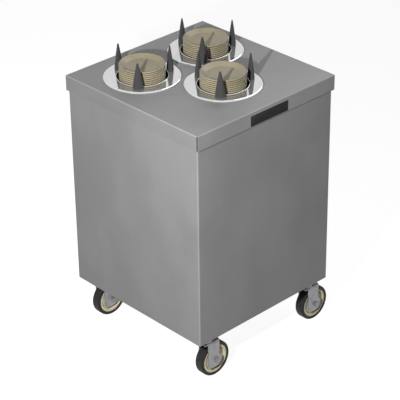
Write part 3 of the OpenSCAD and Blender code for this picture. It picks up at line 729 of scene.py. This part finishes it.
# %% Caster bolts
caster_plate_sheet = 3 * MM
rail_sheet = 2.5 * MM
head_height = 5.3 * MM
head_crown = 0.7 * MM
shank_into_head = 1 * MM
plate_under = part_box("front_left_caster_plate")[1].z - caster_plate_sheet
rail_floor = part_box("base_rails")[0].z + rail_sheet
bolt_head = soften(hexagon("bolt_head", nut_across, head_height, head_crown), head_round)
turn_over(bolt_head, plate_under)
bolt_end = rail_floor + nut_height + thread_tip
shank = rounded_rod(bolt_end - plate_under + shank_into_head, bolt_end)
bolt_nut = copy_of(nut, "bolt_nut", (0, 0, rail_floor))
bolt = joined([bolt_head, shank, bolt_nut], "one_caster_bolt")
print("one caster bolt:", len(bolt.data.polygons), "faces")

# %% Sixteen bolts, four to a caster
stem_axis = {c: middle_of(c + "_caster_plate") for c in casters}
hole_x, hole_y = 36 * MM, 22 * MM
bolt_turn = 0.3168
many = []
for c in casters:
    for side in (-1, 1):
        for end in (-1, 1):
            place = (stem_axis[c].x + side * hole_x, stem_axis[c].y + end * hole_y, 0)
            many.append(copy_of(bolt, "bolt", place, side * end * bolt_turn))
caster_bolts = joined(many, "caster_bolts")
paint(zinc, caster_bolts)
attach(caster_bolts, "root")
remove(bolt)
print("caster bolts:", len(caster_bolts.data.polygons), "faces")

# %% [markdown]
# ## The bolt down each carrier
# The platform, the column and the spider are drawn together by one long bolt. Its head
# has to be low, because the lowest plate stands over it on a foot only 1.6 mm high. So
# the head is a thin round one with a soft edge and a shallow recess in its middle.

# %% Carrier bolts
platform_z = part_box("front_platform")[1].z
low_head_radius = 9 * MM
low_head_height = 1.2 * MM
low_head_round = 0.3 * MM
recess_wall = 5 * MM
recess_depth = low_head_height / 2
recess_share = 0.9
rod_into_head = 0.4 * MM
head_sides = 32
spider_sheet = 4 * MM
spider_under = middle_of("front_shoes").z - spider_sheet / 2
head_top = platform_z + low_head_height
low_head = cylinder("low_head", low_head_radius, platform_z, head_top, head_sides)
bpy.ops.object.mode_set(mode="EDIT")
mark_faces(low_head, lambda normal: normal.z > facing)
bpy.ops.mesh.inset(thickness=recess_wall)
bpy.ops.mesh.extrude_region_move(TRANSFORM_OT_translate={"value": (0, 0, -recess_depth)})
bpy.ops.transform.resize(value=(recess_share, recess_share, 1.0))
bpy.ops.object.mode_set(mode="OBJECT")
soften(low_head, low_head_round)
rod_top = platform_z + rod_into_head
rod_bottom = spider_under - nut_height - thread_tip
rod = rounded_rod(rod_top - rod_bottom, rod_top)
under_nut = turn_over(copy_of(nut, "under_nut"), spider_under)
carrier_bolt = joined([low_head, rod, under_nut], "one_carrier_bolt")
print("carrier bolt from", round(rod_bottom, 4), "to", round(head_top, 4), "m")

# %% One bolt down each carrier
for d in dispensers:
    axis = dispenser_axis[d]
    bolt = copy_of(carrier_bolt, d + "_carrier_bolt", (axis.x, axis.y, 0))
    paint(zinc, bolt)
    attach(bolt, d + "_carrier")
remove(carrier_bolt)
remove(nut)

# %% [markdown]
# ## Screws of the back panel
# The flat panel at the back is screwed to the body's turned-in edges. A pan-head screw
# is a low cylinder with a rounded edge. The cross for the driver is cut by a Boolean
# modifier with two crossed bars, which keeps its corners crisp.

# %% Back panel screws
panel_low, panel_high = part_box("back_panel")
screw_radius = 4.2 * MM
screw_height = 2.4 * MM
dome_round = 1.1 * MM
driver_bar_size = (4.6 * MM, 1.0 * MM, 2.6 * MM)
pan_head = soften(cylinder("pan_head", screw_radius, 0, screw_height, head_sides),
                  dome_round, steps=3)
for turn in (0, math.pi / 2):
    bpy.ops.object.select_all(action="DESELECT")
    bpy.ops.mesh.primitive_cube_add(size=1, location=(0, 0, screw_height), rotation=(0, 0, turn))
    bar = added("driver_bar")
    bar.scale = driver_bar_size
    settle(bar)
    pick(pan_head)
    cut = pan_head.modifiers.new("driver cross", "BOOLEAN")
    cut.operation = "DIFFERENCE"
    cut.object = bar
    bpy.ops.object.modifier_apply(modifier=cut.name)
    remove(bar)
pan_head.matrix_world = Matrix.Rotation(-math.pi / 2, 4, "X")
settle(pan_head)
print("one screw:", len(pan_head.data.polygons), "faces")

# %% Twelve screws in two rows
rows = 6
edge_in = 11 * MM
lowest_row = 24 * MM
spare_height = 74 * MM  # the part of the panel's height that lies outside the rows
row_step = (panel_high.z - panel_low.z - spare_height) / (rows - 1)
heads = []
for side in (panel_low.x + edge_in, panel_high.x - edge_in):
    for row in range(rows):
        rise = panel_low.z + lowest_row + row * row_step
        heads.append(copy_of(pan_head, "screw", (side, panel_high.y, rise)))
back_screws = joined(heads, "back_panel_screws")
paint(zinc, back_screws)
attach(back_screws, "root")
remove(pan_head)
print("back screws:", 2 * rows, "heads,", len(back_screws.data.polygons), "faces")

# %% [markdown]
# ## The plate on the front flange
# A thin enamelled plate sits on the deck's front flange, a little right of the middle.
# It stays blank. A cube is flattened to its size, the front face is inset to leave a
# narrow border and sunk by a hair, and the corners are rounded, as a pressed plate is.

# %% Blank nameplate
plate_width = 167.5 * MM
plate_height = 36.5 * MM
plate_thickness = 1.0 * MM
plate_off_middle = 4.5 * MM
plate_below_deck = 32 * MM
corner_round = 2.0 * MM
corner_steps = 5
border = 1.4 * MM
sunk = 0.25 * MM
plate_round = 0.15 * MM
plate_middle = Vector((cabinet_x + plate_off_middle, deck_low.y - plate_thickness / 2,
                       deck_z - plate_below_deck))
bpy.ops.object.select_all(action="DESELECT")
bpy.ops.mesh.primitive_cube_add(size=1, location=plate_middle)
nameplate = added("blank_nameplate")
nameplate.scale = (plate_width, plate_thickness, plate_height)
settle(nameplate)
bpy.ops.object.mode_set(mode="EDIT")
bpy.ops.mesh.select_mode(type="EDGE")
bpy.ops.mesh.select_all(action="DESELECT")
bpy.ops.object.mode_set(mode="OBJECT")
for edge in nameplate.data.edges:
    a, b = (nameplate.data.vertices[i].co for i in edge.vertices)
    edge.select = abs(a.y - b.y) > plate_thickness / 2
bpy.ops.object.mode_set(mode="EDIT")
bpy.ops.mesh.bevel(offset=corner_round, segments=corner_steps)
mark_faces(nameplate, lambda normal: normal.y < -facing)
bpy.ops.mesh.inset(thickness=border)
bpy.ops.mesh.extrude_region_move(TRANSFORM_OT_translate={"value": (0, sunk, 0)})
bpy.ops.object.mode_set(mode="OBJECT")
soften(nameplate, plate_round)
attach(nameplate, "root")
print("nameplate:", len(nameplate.data.polygons), "faces")

# %% Black enamel
enamel, tree, shader = new_finish("black_enamel", 0.0, Specular_IOR_Level=0.1)
orange_peel = pattern(tree, (700.0, 700.0, 700.0), detail=2.0)
black = blend_colours(tree, orange_peel, (0.014, 0.014, 0.0145), (0.022, 0.022, 0.0225))
colour_and_roughness(tree, shader, black, spread(tree, orange_peel, 0.3, 0.4))
raise_grain(tree, shader, orange_peel, 0.01 * MM)
paint(enamel, nameplate)

# %% [markdown]
# ## Floor and world
# The cart stands on a plain pale floor. Rays from the camera, and rays that mirrors
# send out, see floor and world as white; light that only brightens things sees a calmer
# grey. The floor is mostly its own white with a little diffuse white on top, so it goes
# slightly grey where the cart keeps the light off.

# %% Floor
floor_width = 80
floor_glow = 0.92
floor_matt = (0.3, 0.3, 0.3, 1)
floor_bounce = (0.2, 0.2, 0.2, 1)


def plain_shader(tree, kind, **fixed):
    """One shader with fixed values on its sockets."""
    shader = tree.nodes.new(kind)
    for socket, value in fixed.items():
        shader.inputs[socket].default_value = value
    return shader.outputs[0]


def shown_and_cast(tree, shown, cast, output):
    """One shader for rays that see the thing, another for those that only carry light."""
    ray = tree.nodes.new("ShaderNodeLightPath").outputs
    direct = calculate(tree, "MAXIMUM", ray["Is Camera Ray"], ray["Is Glossy Ray"])
    direct = calculate(tree, "MAXIMUM", direct, ray["Is Transmission Ray"])
    choose = tree.nodes.new("ShaderNodeMixShader")
    tree.links.new(direct, choose.inputs["Fac"])
    tree.links.new(cast, choose.inputs[1])
    tree.links.new(shown, choose.inputs[2])
    tree.links.new(choose.outputs[0], tree.nodes.new(output).inputs["Surface"])


bpy.ops.object.select_all(action="DESELECT")
bpy.ops.mesh.primitive_plane_add(size=floor_width, location=(0, 0, 0))
floor = added("studio_floor")
floor_white = bpy.data.materials.new("pale_floor")
floor_white.use_nodes = True
tree = floor_white.node_tree
tree.nodes.clear()
both = tree.nodes.new("ShaderNodeAddShader")
tree.links.new(plain_shader(tree, "ShaderNodeEmission", Strength=floor_glow), both.inputs[0])
tree.links.new(plain_shader(tree, "ShaderNodeBsdfDiffuse", Color=floor_matt), both.inputs[1])
bounce = plain_shader(tree, "ShaderNodeBsdfDiffuse", Color=floor_bounce)
shown_and_cast(tree, both.outputs[0], bounce, "ShaderNodeOutputMaterial")
floor.data.materials.append(floor_white)
print("floor:", floor_width, "m across")

# %% World
full_white = (1, 1, 1, 1)
world_calm = 0.09
world = bpy.data.worlds.new("studio")
bpy.context.scene.world = world
world.use_nodes = True
tree = world.node_tree
tree.nodes.clear()
white = plain_shader(tree, "ShaderNodeBackground", Color=full_white, Strength=1.0)
calm = plain_shader(tree, "ShaderNodeBackground", Color=full_white, Strength=world_calm)
shown_and_cast(tree, white, calm, "ShaderNodeOutputWorld")
print("world lights with", world_calm, "of full white")

# %% [markdown]
# ## Lamps
# One small low lamp stands in front and to the left, so that the posts and plates throw
# long shadows to the back right across the deck. Mirrors don't see it, because its glint
# would hide the rims of the rings. A broad soft lamp above and to the right keeps the
# deck from going dark. An area lamp lights a matt white sheet to full white at about ten
# watts times the square of its distance, which sets the scale for both.

# %% Key and overhead lamp


def lamp(name, place, aim, size, level):
    """A round area lamp that gives a facing white sheet this share of full white."""
    data = bpy.data.lights.new(name, "AREA")
    data.shape = "DISK"
    data.size = size
    data.energy = level * math.pi ** 2 * (aim - place).length_squared
    thing = bpy.data.objects.new(name, data)
    bpy.context.scene.collection.objects.link(thing)
    thing.location = place
    thing.rotation_euler = (aim - place).to_track_quat("-Z", "Y").to_euler()
    print(name, round(data.energy, 1), "W")
    return thing


deck_middle = Vector((cabinet_x, 0, deck_z))
to_key = Vector((-0.796, -0.490, 0.354)).normalized()
key_distance = 2.4
below_deck = deck_middle - Vector((0, 0, 0.1))
key = lamp("key", deck_middle + key_distance * to_key, below_deck, size=0.07, level=1.3)
key.visible_glossy = False
to_overhead = Vector((1.05, 0.15, 1.0))
lamp("overhead", deck_middle + to_overhead, deck_middle, size=1.0, level=0.34)

# %% [markdown]
# ## Camera
# The camera stands well back with a long lens, in front and to the left of the cart and
# about 29 degrees above it, so upright edges stay nearly parallel. Its place is given
# by direction and distance, and a slight roll follows the tilt of the view. The focal
# length counts in picture points, for a picture of 400 points.

# %% Where the camera stands
azimuth = math.radians(-43.54)
elevation = math.radians(28.83)
roll = math.radians(-0.716)
distance = 5.803
aim_down = 0.0718
aim_left = 0.0042
focal = 1718.3
picture = 400  # points across and down
height_aimed_at = 0.56
back = Vector((math.sin(azimuth) * math.cos(elevation),
               -math.cos(azimuth) * math.cos(elevation), math.sin(elevation)))
right = (-back).cross(Vector((0, 0, 1))).normalized()
up = right.cross(-back)
right, up = (math.cos(roll) * right + math.sin(roll) * up,
             -math.sin(roll) * right + math.cos(roll) * up)
turned_about = Vector((cabinet_x, 0, height_aimed_at))
eye = turned_about + distance * back
aim = turned_about - aim_down * up - aim_left * right
back = (eye - aim).normalized()
right = up.cross(back).normalized()
up = back.cross(right)
print("camera at", [round(v, 3) for v in eye])

# %% Camera
camera_data = bpy.data.cameras.new("camera")
camera_data.sensor_width = 36
camera_data.lens = focal / picture * camera_data.sensor_width
camera_data.clip_start = 0.1
camera_data.clip_end = 200
camera = bpy.data.objects.new("camera", camera_data)
bpy.context.scene.collection.objects.link(camera)
camera.matrix_world = Matrix.Translation(eye) @ Matrix((right, up, back)).transposed().to_4x4()
bpy.context.scene.camera = camera
for side, end in ((-1, -1), (1, -1), (-1, 1), (1, 1)):
    point = Vector((cabinet_x + side * deck_half, end * deck_half, deck_z)) - eye
    across = picture / 2 + focal * point.dot(right) / -point.dot(back)
    down = picture / 2 - focal * point.dot(up) / -point.dot(back)
    print("deck corner", (side, end), "lands at", round(across, 1), round(down, 1))

# %% [markdown]
# ## Finish
# The Standard view shows colours as they are written.

# %% View
bpy.context.scene.view_settings.view_transform = "Standard"
